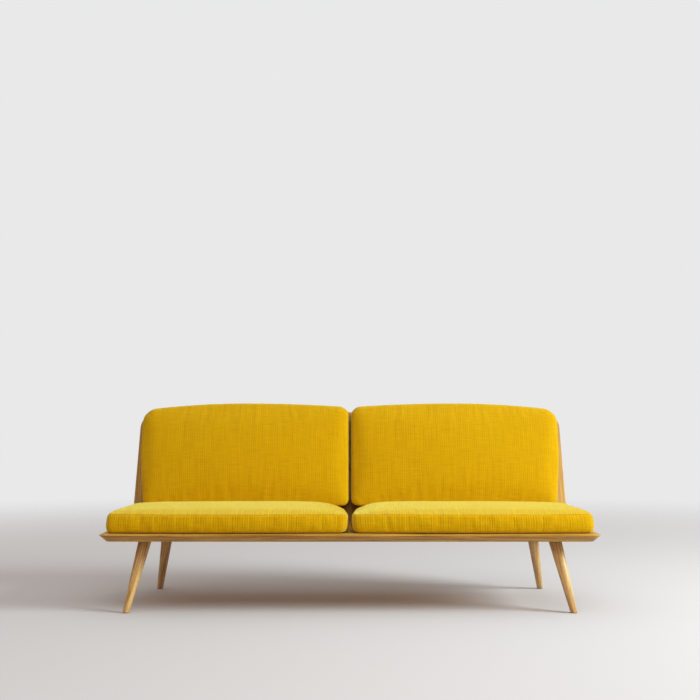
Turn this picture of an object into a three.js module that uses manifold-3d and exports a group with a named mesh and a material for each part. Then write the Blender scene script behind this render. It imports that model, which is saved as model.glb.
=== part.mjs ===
// A two-seat sofa without arms. An oak seat frame with slats stands on four turned, splayed legs.
// A leaning oak back panel is let into the rear rail and held by three bent steel supports.
// Two seat cushions and two back cushions lie loose on the frame.
//
// Millimetres. X runs along the sofa, Y from its front to its back, Z up.
// The origin is on the floor, under the middle of the sofa.

import * as THREE from 'three';
import { ConvexGeometry } from 'three/addons/geometries/ConvexGeometry.js';
import { mergeVertices } from 'three/addons/utils/BufferGeometryUtils.js';
import Module from 'manifold-3d';

const wasm = await Module();
wasm.setup();

// ---- Driving dimensions ----

const GAP = 0.3; // between two pieces that touch

// Seat frame: a board outline with a knife edge, made of rails.
const WIDTH = 1904;
const FRONT = -400;
const FRAME_REAR = 260;
const FRAME_TOP = 302;
const FRAME_THICKNESS = 31;
const CORNER_RADIUS = 26; // seen from above, at the lip
const TOP_BEVEL_REACH = 21; // how far the shallow bevel above the lip runs in
const TOP_BEVEL_DROP = 4.5;
const TOP_CORNER_RADIUS = 14; // seen from above, where the flat top ends
const LIP = 2; // upright part of the edge, between the bevels
const BEVEL_REACH = 21; // how far the bevel runs in under the frame
const UNDER_CORNER_RADIUS = 30; // seen from below, where the bevel ends
const FRONT_RAIL_WIDTH = 80;
const REAR_RAIL_WIDTH = 110;
const END_RAIL_WIDTH = 70;
const LEG_RAIL_WIDTH = 120;
const LEG_RAIL_X = 780; // middle of the rail that carries a front and a rear leg
const CENTRE_RAIL_WIDTH = 60;

// Slats between the front and rear rails.
const SLAT_WIDTH = 70;
const SLAT_THICKNESS = 12;
const SLATS_PER_BAY = 5;
const SLAT_SEAT = 15; // length of a slat's end that lies in its housing

// Legs: straight cones, cut level at both ends.
const LEG_TOP_DIAMETER = 50;
const LEG_FOOT_DIAMETER = 25.5;
const LEG_SIDES = 24;
const FRONT_LEG = { foot: [851, -375], top: [795, -275] };
const REAR_LEG = { foot: [830, 260], top: [777, 160] };
const PLATE_SIZE = 80;
const PLATE_THICKNESS = 3;
const GLIDE_DIAMETER = 22;
const GLIDE_THICKNESS = 2.5;

// Back panel, leaning back.
const RECLINE = THREE.MathUtils.degToRad(20.4);
const PANEL_FOOT_WIDTH = 1882; // its sides draw in towards the top
const PANEL_TOP_WIDTH = 1865;
const PANEL_THICKNESS = 20;
const PANEL_TOP = 772; // height of the front face's top edge
const PANEL_FOOT_Y = 206.5; // front face, where it meets the top of the seat frame
const PANEL_CORNER = 74;
const GROOVE_DEPTH = 8;

// Steel supports behind the panel.
const SUPPORT_X = [-600, 0, 600];
const SUPPORT_WIDTH = 40;
const SUPPORT_THICKNESS = 6;
const SUPPORT_BEND = 10; // radius at the middle of the bar
const SUPPORT_LEG = 84; // length under the rear rail, in front of its rear edge
const SUPPORT_TOP = 650;
const SUPPORT_CLEARANCE = 2; // behind the seat frame's edge
const BOLT_DIAMETER = 15;
const BOLT_HEAD = 3.6;

// Cushions.
const CUSHION_SPLIT = 8; // between the left and the right one
const SEAT_CUSHION_WIDTH = 928;
const SEAT_CUSHION_FRONT = -391;
const SEAT_CUSHION_REAR = 200;
const SEAT_CUSHION_TOP = 394;
const SEAT_CUSHION_PRESSED = 369; // height of the top where the back cushion stands on it
const PRESSED_FROM = 70; // the top slopes down to that height between these two
const PRESSED_TO = 88;
const SEAT_CUSHION_ROUNDING = 20;
const BACK_CUSHION_WIDTH = 906;
const BACK_CUSHION_DEPTH = 124; // square to the panel
const BACK_CUSHION_TOP = 815; // the front edge before its rounding, which takes 7 off the height
const BACK_CUSHION_ROUNDING = 40;
const CUSHION_CLEARANCE = 1.5;

// ---- Materials ----

const oak = (color) => new THREE.MeshStandardMaterial({ color, roughness: 0.5, metalness: 0 });
const steel = () => new THREE.MeshStandardMaterial({ color: 0x3a3b3c, roughness: 0.45, metalness: 0.9 });
const felt = () => new THREE.MeshStandardMaterial({ color: 0x6b5e50, roughness: 1, metalness: 0 });
const wool = () => new THREE.MeshStandardMaterial({ color: 0xd6a012, roughness: 0.95, metalness: 0 });
const OAK_LIGHT = 0xcfa468;
const OAK_MID = 0xc4955a;
const OAK_SLAT = 0xd8bf94;

// ---- Geometry helpers ----

// A closed geometry as a solid that can be cut.
function solidOf(geometry) {
  const bare = geometry.clone();
  bare.deleteAttribute('normal');
  bare.deleteAttribute('uv');
  const merged = mergeVertices(bare, 1e-4);
  const corners = [];
  for (let i = 0; i < merged.index.count; i += 3) {
    const [a, b, c] = [0, 1, 2].map((k) => merged.index.getX(i + k));
    if (a !== b && b !== c && c !== a) corners.push(a, b, c);
  }
  return new wasm.Manifold(new wasm.Mesh({
    numProp: 3,
    vertProperties: new Float32Array(merged.attributes.position.array),
    triVerts: new Uint32Array(corners),
  }));
}

function geometryOf(solid) {
  const mesh = solid.getMesh();
  const geometry = new THREE.BufferGeometry();
  geometry.setAttribute('position', new THREE.BufferAttribute(mesh.vertProperties, 3));
  geometry.setIndex(new THREE.BufferAttribute(mesh.triVerts, 1));
  geometry.computeVertexNormals();
  return geometry;
}

// A box given by its lowest and highest corners.
function block([x0, y0, z0], [x1, y1, z1]) {
  const box = new THREE.BoxGeometry(x1 - x0, y1 - y0, z1 - z0);
  box.translate((x0 + x1) / 2, (y0 + y1) / 2, (z0 + z1) / 2);
  return box;
}

// A convex outline with round corners. The corners run anticlockwise, each with its own radius.
function roundedOutline(corners) {
  const shape = new THREE.Shape();
  const direction = (from, to) => new THREE.Vector2(to[0] - from[0], to[1] - from[1]).normalize();
  corners.forEach(([x, y, radius], i) => {
    const before = direction(corners.at(i - 1), corners[i]);
    const after = direction(corners[i], corners[(i + 1) % corners.length]);
    const n1 = new THREE.Vector2(before.y, -before.x);
    const n2 = new THREE.Vector2(after.y, -after.x);
    const inside = before.cross(after) < 0; // an inside corner turns the other way
    const side = inside ? -1 : 1;
    const toCentre = n1.clone().add(n2).multiplyScalar((-side * radius) / (1 + n1.dot(n2)));
    const centre = new THREE.Vector2(x, y).add(toCentre);
    n1.multiplyScalar(side);
    n2.multiplyScalar(side);
    shape.absarc(centre.x, centre.y, radius, n1.angle(), n2.angle(), inside);
  });
  shape.closePath();
  return shape;
}

function roundedRectangle(x0, y0, x1, y1, radius) {
  return roundedOutline([[x0, y0, radius], [x1, y0, radius], [x1, y1, radius], [x0, y1, radius]]);
}

// Turns what was drawn as a side view (Y, Z) and extruded into a piece that runs along X.
function alongX(geometry, startX) {
  const sideView = new THREE.Matrix4().makeBasis(
    new THREE.Vector3(0, 1, 0),
    new THREE.Vector3(0, 0, 1),
    new THREE.Vector3(1, 0, 0),
  );
  return geometry.applyMatrix4(sideView).translate(startX, 0, 0);
}

// ---- Assembly ----

const sofa = new THREE.Group();

function add(name, geometry, material) {
  const mesh = new THREE.Mesh(geometry, material);
  mesh.name = name;
  sofa.add(mesh);
}

const frameUnderside = FRAME_TOP - FRAME_THICKNESS;
const frameBayFront = FRONT + FRONT_RAIL_WIDTH;
const frameBayRear = FRAME_REAR - REAR_RAIL_WIDTH;
const sides = [['left', -1], ['right', 1]];

// ---- Back panel ----

// How far back the panel's front face is at a height, and how long it is above the seat frame.
const faceY = (z) => PANEL_FOOT_Y + (z - FRAME_TOP) * Math.tan(RECLINE);
const panelLength = (PANEL_TOP - FRAME_TOP) / Math.cos(RECLINE);

// The panel, grown all round by a margin. Its foot is cut level, inside the groove in the rear rail.
function panelSolid(margin) {
  const foot = -3 * GROOVE_DEPTH;
  const halfFoot = PANEL_FOOT_WIDTH / 2 + margin;
  const halfTop = PANEL_TOP_WIDTH / 2 + margin;
  const outline = roundedOutline([
    [-halfFoot, foot, 1],
    [halfFoot, foot, 1],
    [halfTop, panelLength + margin, PANEL_CORNER],
    [-halfTop, panelLength + margin, PANEL_CORNER],
  ]);
  const thickness = PANEL_THICKNESS + 2 * margin;
  const panel = new THREE.ExtrudeGeometry(outline, {
    depth: thickness,
    bevelEnabled: false,
    curveSegments: 8,
  });
  panel.translate(0, 0, -thickness + margin);
  panel.rotateX(Math.PI / 2 - RECLINE);
  panel.translate(0, PANEL_FOOT_Y, FRAME_TOP);
  const footHeight = FRAME_TOP - GROOVE_DEPTH + GAP - margin;
  return solidOf(panel).intersect(solidOf(block([-WIDTH, -WIDTH, footHeight], [WIDTH, WIDTH, WIDTH])));
}

add('back_panel', geometryOf(panelSolid(0)), oak(OAK_MID));

// ---- Seat frame ----

// The whole frame as one board: rounded corners, and a lip between a shallow bevel and a steep one.
function frameBoard() {
  const outlineAt = (z, inset, radius) => roundedRectangle(
    inset - WIDTH / 2,
    FRONT + inset,
    WIDTH / 2 - inset,
    FRAME_REAR - inset,
    radius,
  ).getPoints(6).map((point) => new THREE.Vector3(point.x, point.y, z));
  return solidOf(new ConvexGeometry([
    ...outlineAt(FRAME_TOP, TOP_BEVEL_REACH, TOP_CORNER_RADIUS),
    ...outlineAt(FRAME_TOP - TOP_BEVEL_DROP, 0, CORNER_RADIUS),
    ...outlineAt(FRAME_TOP - TOP_BEVEL_DROP - LIP, 0, CORNER_RADIUS),
    ...outlineAt(frameUnderside, BEVEL_REACH, UNDER_CORNER_RADIUS),
  ]));
}

// Slats fill the two bays between a leg rail and the centre rail.
const bayStart = CENTRE_RAIL_WIDTH / 2;
const bayEnd = LEG_RAIL_X - LEG_RAIL_WIDTH / 2;
const slatPitch = (bayEnd - bayStart + SLAT_WIDTH) / (SLATS_PER_BAY + 1);
const slats = sides.flatMap(([side, sign]) => Array.from({ length: SLATS_PER_BAY }, (_, i) => ({
  name: `slat_${side}_${i + 1}`,
  x: sign * (bayStart - SLAT_WIDTH / 2 + slatPitch * (i + 1)),
})));

function slatBlock(x, margin) {
  return block(
    [x - SLAT_WIDTH / 2 - margin, frameBayFront - SLAT_SEAT - margin, FRAME_TOP - SLAT_THICKNESS - margin],
    [x + SLAT_WIDTH / 2 + margin, frameBayRear + SLAT_SEAT + margin, FRAME_TOP + margin],
  );
}

for (const { name, x } of slats) add(name, slatBlock(x, 0), oak(OAK_SLAT));

// The front and rear rails run the whole width. The other rails butt against them.
function cutRail(board, lowCorner, highCorner, ...housings) {
  const rail = board.intersect(solidOf(block(lowCorner, highCorner)));
  return geometryOf(housings.reduce((left, housing) => left.subtract(housing), rail));
}

const board = frameBoard();
const slatHousings = slats.map(({ x }) => solidOf(slatBlock(x, GAP)));
add('rail_front', cutRail(
  board, [-WIDTH, -WIDTH, 0], [WIDTH, frameBayFront, WIDTH], ...slatHousings,
), oak(OAK_LIGHT));
add('rail_rear', cutRail(
  board, [-WIDTH, frameBayRear, 0], [WIDTH, WIDTH, WIDTH], ...slatHousings, panelSolid(GAP),
), oak(OAK_LIGHT));

const bayFront = frameBayFront + GAP;
const bayRear = frameBayRear - GAP;
for (const [side, sign] of sides) {
  const inner = sign * (WIDTH / 2 - END_RAIL_WIDTH);
  const outer = sign * WIDTH;
  add(`rail_${side}`, cutRail(
    board,
    [Math.min(inner, outer), bayFront, 0],
    [Math.max(inner, outer), bayRear, WIDTH],
  ), oak(OAK_LIGHT));
}

function crossRail(x, width) {
  return block([x - width / 2, bayFront, frameUnderside], [x + width / 2, bayRear, FRAME_TOP]);
}

add('rail_centre', crossRail(0, CENTRE_RAIL_WIDTH), oak(OAK_LIGHT));
for (const [side, sign] of sides) {
  add(`leg_rail_${side}`, crossRail(sign * LEG_RAIL_X, LEG_RAIL_WIDTH), oak(OAK_LIGHT));
}

// ---- Legs, with their plates and glides ----

const plateUnderside = frameUnderside - GAP - PLATE_THICKNESS;
const legTop = plateUnderside - GAP;
const legFoot = GLIDE_THICKNESS + GAP;

// The cone is drawn longer than the leg at both ends, then cut level.
function legGeometry(foot, top) {
  const low = new THREE.Vector3(foot[0], foot[1], 0);
  const high = new THREE.Vector3(top[0], top[1], frameUnderside);
  const axis = high.clone().sub(low);
  const length = axis.length();
  const spare = 30;
  const radiusAt = (s) => THREE.MathUtils.lerp(LEG_FOOT_DIAMETER, LEG_TOP_DIAMETER, s / length) / 2;
  const ends = [-spare, length + spare];
  const profile = [
    new THREE.Vector2(0, ends[0]),
    ...ends.map((s) => new THREE.Vector2(radiusAt(s), s)),
    new THREE.Vector2(0, ends[1]),
  ];
  const cone = new THREE.LatheGeometry(profile, LEG_SIDES);
  cone.applyQuaternion(new THREE.Quaternion().setFromUnitVectors(
    new THREE.Vector3(0, 1, 0),
    axis.normalize(),
  ));
  cone.translate(low.x, low.y, low.z);
  const slab = block([-WIDTH, -WIDTH, legFoot], [WIDTH, WIDTH, legTop]);
  return geometryOf(solidOf(cone).intersect(solidOf(slab)));
}

function plateGeometry([x, y]) {
  const half = PLATE_SIZE / 2;
  const outline = roundedRectangle(x - half, y - half, x + half, y + half, 8);
  const plate = new THREE.ExtrudeGeometry(outline, {
    depth: PLATE_THICKNESS,
    bevelEnabled: false,
    curveSegments: 4,
  });
  return plate.translate(0, 0, plateUnderside);
}

function glideGeometry([x, y]) {
  const radius = GLIDE_DIAMETER / 2;
  const glide = new THREE.CylinderGeometry(radius, radius, GLIDE_THICKNESS, LEG_SIDES);
  return glide.rotateX(Math.PI / 2).translate(x, y, GLIDE_THICKNESS / 2);
}

for (const [end, { foot, top }] of [['front', FRONT_LEG], ['rear', REAR_LEG]]) {
  for (const [side, sign] of sides) {
    const [footHere, topHere] = [foot, top].map(([x, y]) => [sign * x, y]);
    add(`leg_${end}_${side}`, legGeometry(footHere, topHere), oak(OAK_MID));
    add(`leg_plate_${end}_${side}`, plateGeometry(topHere), steel());
    add(`glide_${end}_${side}`, glideGeometry(footHere), felt());
  }
}

// ---- Back supports and their bolts ----

// Points along a bent line, with each inner corner turned on an arc.
function bentLine(corners, radius, steps = 4) {
  const line = [corners[0]];
  for (let i = 1; i < corners.length - 1; i += 1) {
    const before = corners[i].clone().sub(corners[i - 1]).normalize();
    const after = corners[i + 1].clone().sub(corners[i]).normalize();
    const half = Math.acos(before.dot(after)) / 2;
    const reach = radius * Math.tan(half);
    const start = corners[i].clone().addScaledVector(before, -reach);
    const end = corners[i].clone().addScaledVector(after, reach);
    line.push(...new THREE.QuadraticBezierCurve(start, corners[i], end).getPoints(steps));
  }
  line.push(corners.at(-1));
  return line;
}

// The side view of a bar of even thickness along a line.
function barOutline(line, thickness) {
  const edge = (distance) => line.map((point, i) => {
    const from = line[Math.max(i - 1, 0)];
    const to = line[Math.min(i + 1, line.length - 1)];
    const along = to.clone().sub(from).normalize();
    return new THREE.Vector2(point.x + along.y * distance, point.y - along.x * distance);
  });
  return new THREE.Shape([...edge(-thickness / 2).reverse(), ...edge(thickness / 2)]);
}

// The middle of the bar: under the rear rail, up behind its edge, then up the back of the panel.
const barInset = SUPPORT_THICKNESS / 2 + GAP;
const panelSquare = PANEL_THICKNESS + barInset; // from the panel's front face to the bar's middle
const barY = (z) => faceY(z) + panelSquare / Math.cos(RECLINE);
const barBehindEdge = FRAME_REAR + SUPPORT_CLEARANCE + SUPPORT_THICKNESS / 2;
const barJoinsPanel = FRAME_TOP + (barBehindEdge - barY(FRAME_TOP)) / Math.tan(RECLINE);
const barUnder = frameUnderside - barInset;
const supportCorners = [
  new THREE.Vector2(FRAME_REAR - SUPPORT_LEG, barUnder),
  new THREE.Vector2(barBehindEdge, barUnder),
  new THREE.Vector2(barBehindEdge, barJoinsPanel),
  new THREE.Vector2(barY(SUPPORT_TOP), SUPPORT_TOP),
];

function supportGeometry(x) {
  const outline = barOutline(bentLine(supportCorners, SUPPORT_BEND), SUPPORT_THICKNESS);
  const bar = new THREE.ExtrudeGeometry(outline, { depth: SUPPORT_WIDTH, bevelEnabled: false });
  return alongX(bar, x - SUPPORT_WIDTH / 2);
}

// A low domed head whose foot is at the origin and whose axis is Y.
function boltHead() {
  const radius = BOLT_DIAMETER / 2;
  return new THREE.LatheGeometry([
    new THREE.Vector2(0, 0),
    new THREE.Vector2(radius, 0),
    new THREE.Vector2(radius, BOLT_HEAD * 0.3),
    new THREE.Vector2(radius * 0.7, BOLT_HEAD * 0.8),
    new THREE.Vector2(0, BOLT_HEAD),
  ], 16);
}

// Heads stand on the bar's outer face: two under the rear rail and two on the panel.
const outerFace = SUPPORT_THICKNESS / 2 + GAP;
const railBoltYs = [FRAME_REAR - SUPPORT_LEG + 18, FRAME_REAR - SUPPORT_LEG + 50];
const panelBoltZs = [SUPPORT_TOP - 25, SUPPORT_TOP - 165];

SUPPORT_X.forEach((x, i) => {
  const place = ['left', 'centre', 'right'][i];
  add(`back_support_${place}`, supportGeometry(x), steel());
  railBoltYs.forEach((y, k) => {
    const head = boltHead().rotateX(-Math.PI / 2).translate(x, y, barUnder - outerFace);
    add(`rail_bolt_${place}_${k + 1}`, head, steel());
  });
  panelBoltZs.forEach((z, k) => {
    const head = boltHead().translate(0, outerFace, 0).rotateX(-RECLINE).translate(x, barY(z), z);
    add(`panel_bolt_${place}_${k + 1}`, head, steel());
  });
});

// ---- Cushions ----

// A side view extruded between two upright ends, with the ends rounded.
function cushionGeometry(outline, x0, x1, rounding) {
  const [low, high] = [Math.min(x0, x1), Math.max(x0, x1)];
  const cushion = new THREE.ExtrudeGeometry(outline, {
    depth: high - low - 2 * rounding,
    bevelThickness: rounding,
    bevelSize: rounding,
    bevelOffset: -rounding,
    bevelSegments: 4,
    curveSegments: 5,
  });
  return alongX(cushion, low + rounding);
}

const seatBottom = FRAME_TOP + GAP;
const seatOutline = roundedOutline([
  [SEAT_CUSHION_FRONT, seatBottom, SEAT_CUSHION_ROUNDING + 4],
  [SEAT_CUSHION_REAR, seatBottom, SEAT_CUSHION_ROUNDING + 4],
  [SEAT_CUSHION_REAR, SEAT_CUSHION_PRESSED, SEAT_CUSHION_ROUNDING + 8],
  [PRESSED_TO, SEAT_CUSHION_PRESSED, 10],
  [PRESSED_FROM, SEAT_CUSHION_TOP, SEAT_CUSHION_ROUNDING + 4],
  [SEAT_CUSHION_FRONT, SEAT_CUSHION_TOP, SEAT_CUSHION_ROUNDING + 12],
]);

// The back cushion stands on the seat cushion and leans on the panel.
const backRear = (z) => faceY(z) - CUSHION_CLEARANCE / Math.cos(RECLINE);
const backFront = (z) => backRear(z) - BACK_CUSHION_DEPTH / Math.cos(RECLINE);
const backBottom = SEAT_CUSHION_PRESSED + CUSHION_CLEARANCE;
const backTopSlope = BACK_CUSHION_DEPTH * Math.sin(RECLINE); // the top edge falls towards the panel
const backRearTop = BACK_CUSHION_TOP - backTopSlope / 2;
const backOutline = roundedOutline([
  [backFront(backBottom), backBottom, BACK_CUSHION_ROUNDING + 4],
  [backRear(backBottom), backBottom, BACK_CUSHION_ROUNDING + 4],
  [backRear(backRearTop), backRearTop, BACK_CUSHION_ROUNDING + 14],
  [backFront(BACK_CUSHION_TOP), BACK_CUSHION_TOP, BACK_CUSHION_ROUNDING + 14],
]);

for (const [side, sign] of sides) {
  const inner = (sign * CUSHION_SPLIT) / 2;
  const seatOuter = inner + sign * SEAT_CUSHION_WIDTH;
  const backOuter = inner + sign * BACK_CUSHION_WIDTH;
  add(`seat_cushion_${side}`, cushionGeometry(seatOutline, inner, seatOuter, SEAT_CUSHION_ROUNDING), wool());
  add(`back_cushion_${side}`, cushionGeometry(backOutline, inner, backOuter, BACK_CUSHION_ROUNDING), wool());
}

export default sofa;
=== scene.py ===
# The looks of a two-seat sofa: an oak seat frame with beech slats on turned legs, an oak back
# panel on steel supports, and loose mustard cushions. Metres; X along the sofa, Y to its back, Z up.

from math import copysign, cos, exp, hypot, pi, radians, sin, tan, tanh

import bmesh
import bpy
from mathutils import Matrix, Vector, noise


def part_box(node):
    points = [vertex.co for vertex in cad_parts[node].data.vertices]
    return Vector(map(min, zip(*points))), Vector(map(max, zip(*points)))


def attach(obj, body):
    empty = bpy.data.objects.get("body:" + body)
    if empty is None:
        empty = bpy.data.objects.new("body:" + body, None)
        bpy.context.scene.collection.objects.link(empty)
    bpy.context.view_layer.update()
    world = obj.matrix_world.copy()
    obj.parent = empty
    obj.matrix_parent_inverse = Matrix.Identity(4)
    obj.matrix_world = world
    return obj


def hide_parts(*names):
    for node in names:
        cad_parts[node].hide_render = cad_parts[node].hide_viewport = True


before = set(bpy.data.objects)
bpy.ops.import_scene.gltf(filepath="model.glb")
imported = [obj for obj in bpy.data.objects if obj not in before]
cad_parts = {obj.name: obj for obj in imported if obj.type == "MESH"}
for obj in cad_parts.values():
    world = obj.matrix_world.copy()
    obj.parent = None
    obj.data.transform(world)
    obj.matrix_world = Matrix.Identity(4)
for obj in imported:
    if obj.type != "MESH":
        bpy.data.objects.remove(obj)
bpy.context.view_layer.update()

# ---- Driving dimensions ----

RECLINE = radians(20.4)  # of the back panel and the cushions that lean on it
GAP = 0.0003  # between pieces that rest on one another
RAIL_EDGE = 0.0007  # the edges are sanded round to these radii
SLAT_EDGE = 0.0015
SLATS_EACH_SIDE = 5
PANEL_THICKNESS = 0.020
PANEL_TOP_WIDTH = 1.865
PANEL_CORNER = 0.074
PANEL_EDGE = 0.0025
LEG_TOP_RADIUS = 0.025
LEG_FOOT_RADIUS = 0.01275
LEG_EDGE = 0.0012
PLATE_CORNER = 0.008
PLATE_EDGE = 0.0005
PLATE_SCREW_REACH = 0.030  # of each screw from the plate's middle, both ways
GLIDE_EDGE = 0.0007
SUPPORT_THICKNESS = 0.006
SUPPORT_BEND = 0.010  # radius at the middle of the bar
SUPPORT_STAND_OFF = 0.005  # of the middle of the bar from the frame's rear edge
SUPPORT_EDGE = 0.0008
BOLT_HEIGHT = 0.0036

SIDES = {"left": -1, "right": 1}
X_AXIS = Vector((1, 0, 0))
Y_AXIS = Vector((0, 1, 0))
Z_AXIS = Vector((0, 0, 1))
UP_PANEL = Vector((0, sin(RECLINE), cos(RECLINE)))

# Each board has a number, which gives it a stretch of grain of its own.
FIRST_RAIL_BOARD = 1
PANEL_BOARD = 10
FIRST_SLAT_BOARD = 20
FIRST_RIGHT_LEG_BOARD = 40
FIRST_LEFT_LEG_BOARD = 50
BOARD_STEP = (1.37, 0.53, 0.29)  # from one board's stretch of grain to the next one's


# ---- Materials ----

def linear(hex_colour):
    """An sRGB hex colour as the linear colour that a shader takes."""
    def channel(value):
        return value / 12.92 if value <= 0.04045 else ((value + 0.055) / 1.055) ** 2.4
    return tuple(channel(int(hex_colour[i:i + 2], 16) / 255) for i in (1, 3, 5)) + (1,)


def add_node(tree, kind, inputs, **settings):
    """Adds a node. Each input is a value, or the node or socket that it is linked from."""
    node = tree.nodes.new("ShaderNode" + kind)
    for name, value in settings.items():
        setattr(node, name, value)
    for key, value in inputs.items():
        by_name = [socket for socket in node.inputs if socket.name == key and socket.enabled]
        socket = by_name[0] if by_name else node.inputs[key]
        if isinstance(value, bpy.types.Node):
            value = next(output for output in value.outputs if output.enabled)
        if isinstance(value, bpy.types.NodeSocket):
            tree.links.new(value, socket)
        else:
            socket.default_value = value
    return node


def new_material(name):
    """An empty node material and its tree."""
    material = bpy.data.materials.new(name)
    material.use_nodes = True
    material.node_tree.nodes.clear()
    return material, material.node_tree


def oiled_oak(name, early, late, between):
    """Sanded and oiled oak. Straight bands of early and late wood, short dark open pores along
    them, a slow drift of colour, and a soft satin sheen that the pores break up."""
    material, tree = new_material(name)
    grain = add_node(tree, "Attribute", {}, attribute_name="grain").outputs["Vector"]

    # Growth bands about 6 mm apart, which wander a little and run for a fifth of a metre.
    band_place = add_node(tree, "VectorMath", {0: grain, 1: (5.0, 170, 125)}, operation="MULTIPLY")
    bands = add_node(tree, "TexNoise", {
        "Vector": band_place, "Scale": 1.0, "Detail": 3.0, "Roughness": 0.5, "Distortion": 0.4,
    })
    # Pores 0.6 mm wide and 17 mm long.
    pore_place = add_node(tree, "VectorMath", {0: grain, 1: (60, 1700, 1100)}, operation="MULTIPLY")
    pore_noise = add_node(tree, "TexNoise", {"Vector": pore_place, "Scale": 1.0, "Detail": 1.0})
    pores = add_node(tree, "MapRange", {
        "Value": pore_noise, "From Min": 0.60, "From Max": 0.70, "To Min": 0.0, "To Max": 1.0,
    })
    # Drift over 400 mm along the grain and 110 mm across it.
    drift_place = add_node(tree, "VectorMath", {0: grain, 1: (2.5, 9, 9)}, operation="MULTIPLY")
    drift = add_node(tree, "TexNoise", {"Vector": drift_place, "Scale": 1.0, "Detail": 2.0})

    band_mix = add_node(tree, "MapRange", {"Value": bands, "From Min": 0.40, "From Max": 0.62})
    wood = add_node(tree, "Mix", {
        "Factor": band_mix, "A": linear(early), "B": linear(late),
    }, data_type="RGBA")
    drift_mix = add_node(tree, "MapRange", {
        "Value": drift, "From Min": 0.3, "From Max": 0.7, "To Max": 0.45,
    })
    drifted = add_node(tree, "Mix", {
        "Factor": drift_mix, "A": wood, "B": linear(between),
    }, data_type="RGBA")
    pore_mix = add_node(tree, "Math", {0: pores, 1: 0.75}, operation="MULTIPLY")
    colour = add_node(tree, "Mix", {
        "Factor": pore_mix, "A": drifted, "B": linear("#5F3A12"),
    }, data_type="RGBA")
    roughness = add_node(tree, "MapRange", {"Value": bands, "To Min": 0.34, "To Max": 0.50})
    depth = add_node(tree, "Math", {0: pores, 1: -1.0, 2: band_mix}, operation="MULTIPLY_ADD")
    bump = add_node(tree, "Bump", {"Strength": 0.25, "Distance": 0.0004, "Height": depth})
    shader = add_node(tree, "BsdfPrincipled", {
        "Base Color": colour, "Roughness": roughness, "Normal": bump,
        "IOR": 1.48, "Specular IOR Level": 0.45, "Coat Weight": 0.20, "Coat Roughness": 0.34,
    })
    add_node(tree, "OutputMaterial", {"Surface": shader})
    return material


def planed_beech():
    """Raw planed beech. Pale and even, with the short brown flecks that mark the wood, and matt."""
    material, tree = new_material("planed beech")
    grain = add_node(tree, "Attribute", {}, attribute_name="grain").outputs["Vector"]
    # Faint streaks 6 mm wide and 250 mm long.
    streak_place = add_node(tree, "VectorMath", {0: grain, 1: (4, 160, 120)}, operation="MULTIPLY")
    streaks = add_node(tree, "TexNoise", {"Vector": streak_place, "Scale": 1.0, "Detail": 3.0})
    # Flecks 0.7 mm wide and 3 mm long.
    fleck_place = add_node(tree, "VectorMath", {0: grain, 1: (330, 1500, 1500)}, operation="MULTIPLY")
    fleck_noise = add_node(tree, "TexNoise", {"Vector": fleck_place, "Scale": 1.0, "Detail": 0.0})
    flecks = add_node(tree, "MapRange", {
        "Value": fleck_noise, "From Min": 0.62, "From Max": 0.70, "To Max": 0.5,
    })
    wood = add_node(tree, "Mix", {
        "Factor": streaks, "A": linear("#E2C9A0"), "B": linear("#D0AE80"),
    }, data_type="RGBA")
    colour = add_node(tree, "Mix", {
        "Factor": flecks, "A": wood, "B": linear("#A87B4E"),
    }, data_type="RGBA")
    bump = add_node(tree, "Bump", {"Strength": 0.2, "Distance": 0.0002, "Height": streaks})
    shader = add_node(tree, "BsdfPrincipled", {
        "Base Color": colour, "Roughness": 0.62, "Normal": bump, "IOR": 1.48,
    })
    add_node(tree, "OutputMaterial", {"Surface": shader})
    return material


def powder_coated_steel():
    """Black powder coat on steel. A dark grey skin with a fine orange peel that spreads the light."""
    material, tree = new_material("powder-coated steel")
    place = add_node(tree, "TexCoord", {}).outputs["Object"]
    # Orange peel about 1.2 mm across.
    peel = add_node(tree, "TexNoise", {"Vector": place, "Scale": 820.0, "Detail": 1.0})
    colour = add_node(tree, "Mix", {
        "Factor": peel, "A": linear("#1C1C1D"), "B": linear("#2B2B2C"),
    }, data_type="RGBA")
    roughness = add_node(tree, "MapRange", {"Value": peel, "To Min": 0.42, "To Max": 0.58})
    bump = add_node(tree, "Bump", {"Strength": 0.35, "Distance": 0.0002, "Height": peel})
    shader = add_node(tree, "BsdfPrincipled", {
        "Base Color": colour, "Roughness": roughness, "Normal": bump, "IOR": 1.5,
    })
    add_node(tree, "OutputMaterial", {"Surface": shader})
    return material


def pressed_felt():
    """Pressed wool felt. Brown fibres lying every way, with no shine and a soft fuzzy edge."""
    material, tree = new_material("pressed felt")
    place = add_node(tree, "TexCoord", {}).outputs["Object"]
    # Tufts of fibre about 0.8 mm across.
    tufts = add_node(tree, "TexNoise", {
        "Vector": place, "Scale": 1250.0, "Detail": 4.0, "Distortion": 1.5,
    })
    colour = add_node(tree, "Mix", {
        "Factor": tufts, "A": linear("#5E4E40"), "B": linear("#8A7764"),
    }, data_type="RGBA")
    bump = add_node(tree, "Bump", {"Strength": 0.6, "Distance": 0.0004, "Height": tufts})
    shader = add_node(tree, "BsdfPrincipled", {
        "Base Color": colour, "Roughness": 0.95, "Normal": bump,
        "Sheen Weight": 0.4, "Sheen Roughness": 0.5,
    })
    add_node(tree, "OutputMaterial", {"Surface": shader})
    return material


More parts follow.
